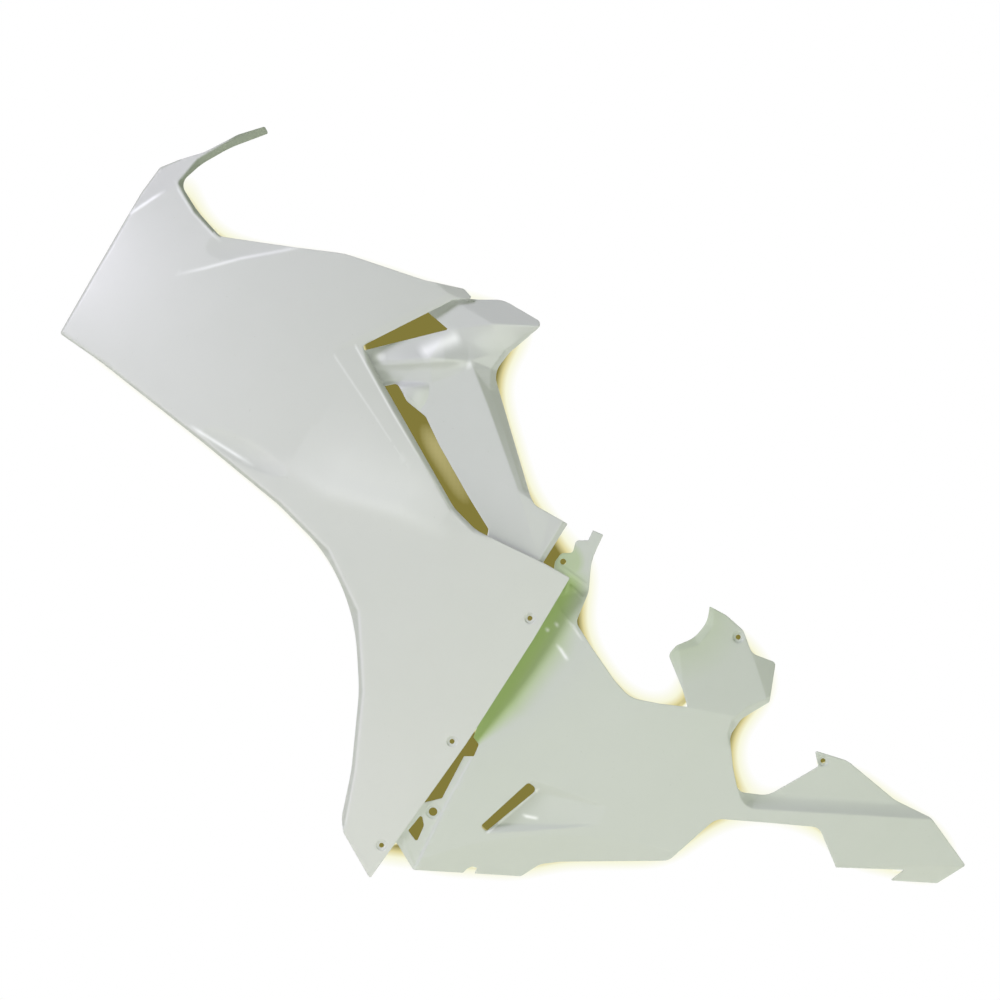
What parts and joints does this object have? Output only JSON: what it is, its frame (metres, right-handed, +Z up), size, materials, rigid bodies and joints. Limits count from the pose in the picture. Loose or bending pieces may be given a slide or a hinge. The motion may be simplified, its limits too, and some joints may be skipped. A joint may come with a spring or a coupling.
{
  "type": "motorcycle fairing",
  "caption": "Left-hand side fairing of a sports motorcycle in unpainted plastic: upper panel with windscreen arm, recessed vent panel with winglet, lower belly panel with shield and tail",
  "frame": {"origin": "middle of the lower panel's ear hole, on the ear's outer face", "axes": "upright as fitted to the motorcycle: +X to the rear along the longest side, +Y in towards the motorcycle (the outer face looks along -Y), +Z up"},
  "size_m": [1, 0.1604, 0.8375],
  "materials": {
    "upper_plastic": "unpainted pale grey-white moulded plastic, satin",
    "vent_plastic": "unpainted pale grey-white moulded plastic, glossy",
    "lower_plastic": "unpainted pale green-grey moulded plastic, satin",
    "screw_steel": "zinc-plated steel"
  },
  "bodies": {
    "root": {"upper_side_panel": "upper_plastic", "vent_inner_panel": "vent_plastic", "lower_side_panel": "lower_plastic", "vent_panel_screws": "screw_steel"}
  },
  "joints": []
}
